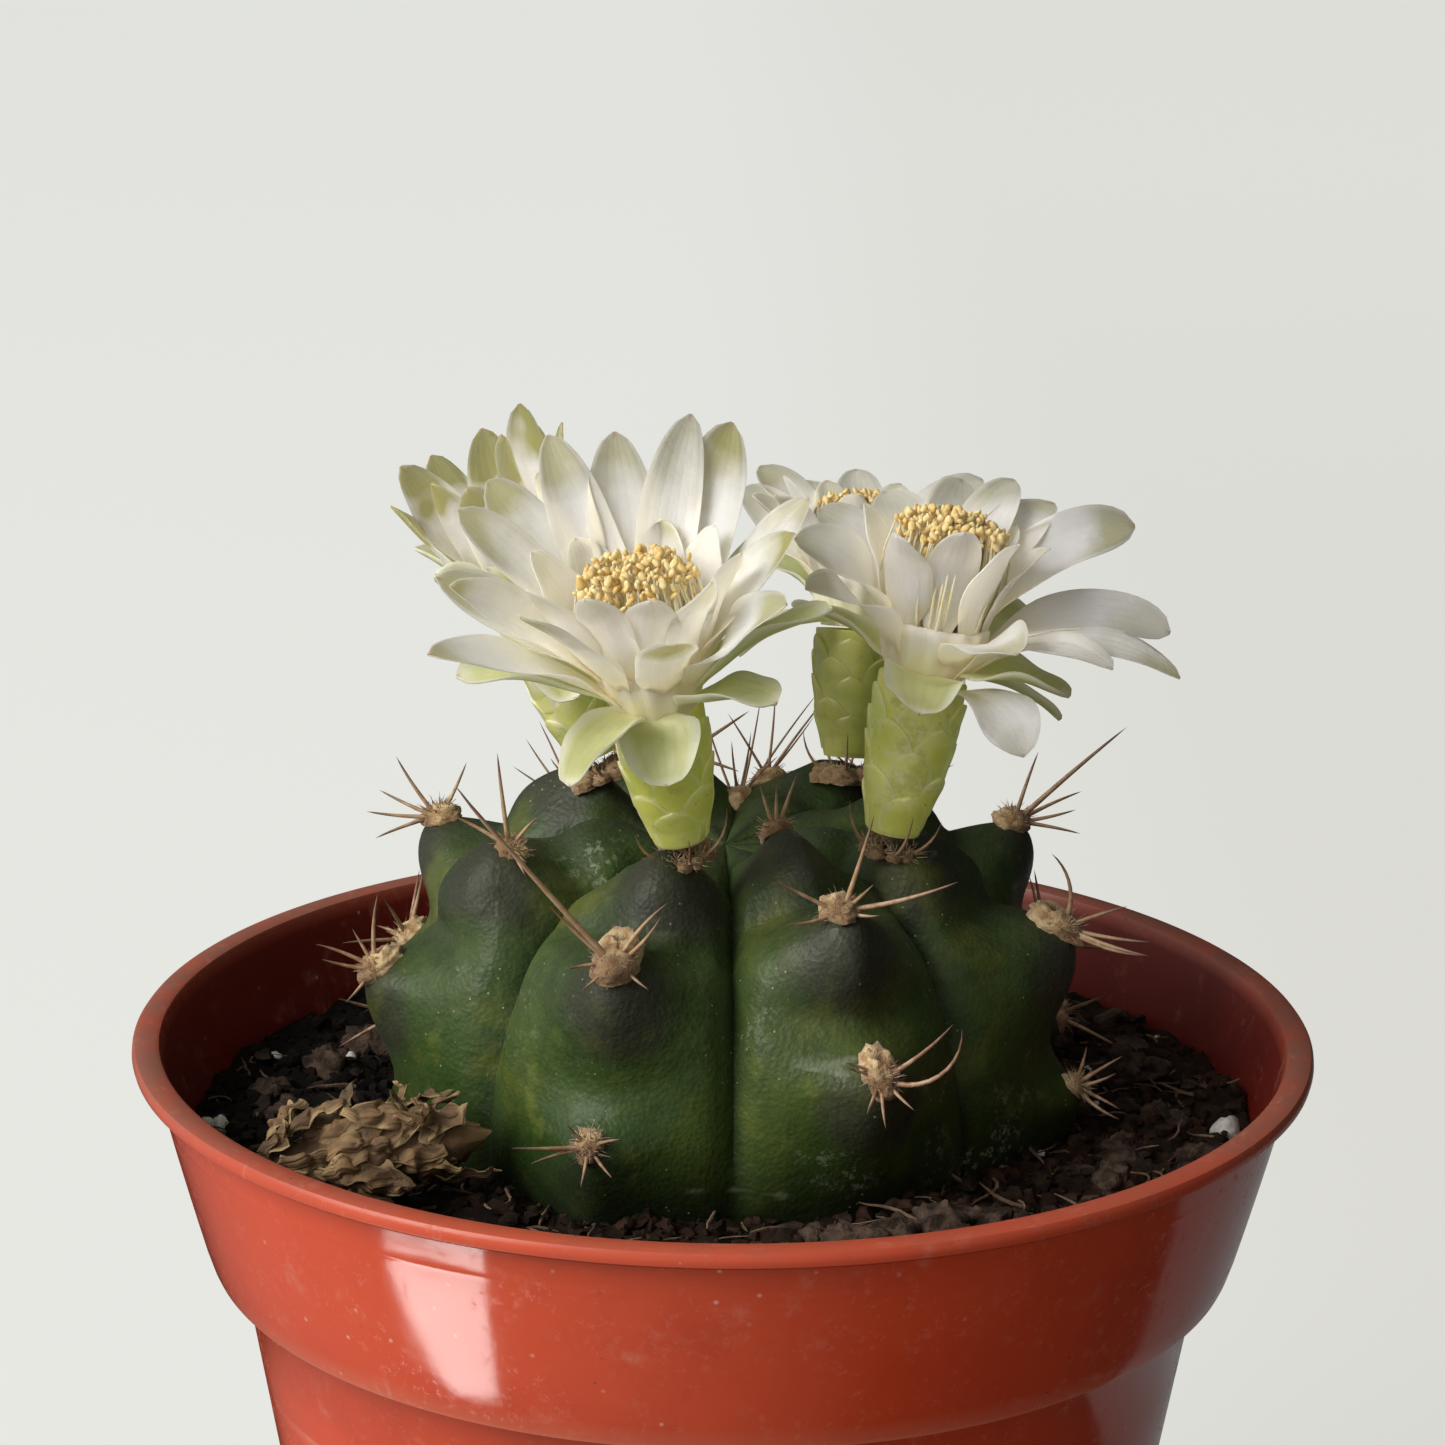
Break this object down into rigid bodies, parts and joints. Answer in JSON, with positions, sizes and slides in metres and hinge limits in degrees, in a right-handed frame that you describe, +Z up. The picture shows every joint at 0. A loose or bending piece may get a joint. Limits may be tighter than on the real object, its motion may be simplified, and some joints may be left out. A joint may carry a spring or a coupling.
{
  "type": "potted chin cactus",
  "caption": "Flattened globe cactus with chinned ribs, sparse curved spines and white many-petalled blooms on scaly green tubes, in soil in a round flared plastic nursery pot.",
  "frame": {"origin": "centre of the pot's base, on the surface that it stands on", "axes": "+Z up along the pot's axis; the side that the picture shows faces -Y"},
  "size_m": [0.1196, 0.12, 0.161],
  "materials": {
    "pot_plastic": "moulded terracotta-red plastic, semi-gloss, with scuffs",
    "soil_peat": "dry peat and bark crumbs with white grit, matt",
    "cactus_skin": "velvety green skin, greyish purple over the chins",
    "tube_green": "waxy yellow-green scales with pale edges",
    "tepal_white": "thin white tepals with fine veins and olive tips",
    "anther_yellow": "cream filaments with golden pollen",
    "dried_bloom": "dry papery tan tepals"
  },
  "bodies": {
    "root": {"pot": "pot_plastic", "soil": "soil_peat", "cactus_body": "cactus_skin", "dried_bloom": "dried_bloom", "bloom_front_tube": "tube_green", "bloom_front_tepals": "tepal_white", "bloom_front_stamens": "anther_yellow", "bloom_right_tube": "tube_green", "bloom_right_tepals": "tepal_white", "bloom_right_stamens": "anther_yellow", "bloom_left_back_tube": "tube_green", "bloom_left_back_tepals": "tepal_white", "bloom_left_back_stamens": "anther_yellow", "bloom_right_back_tube": "tube_green", "bloom_right_back_tepals": "tepal_white", "bloom_right_back_stamens": "anther_yellow"}
  },
  "joints": []
}
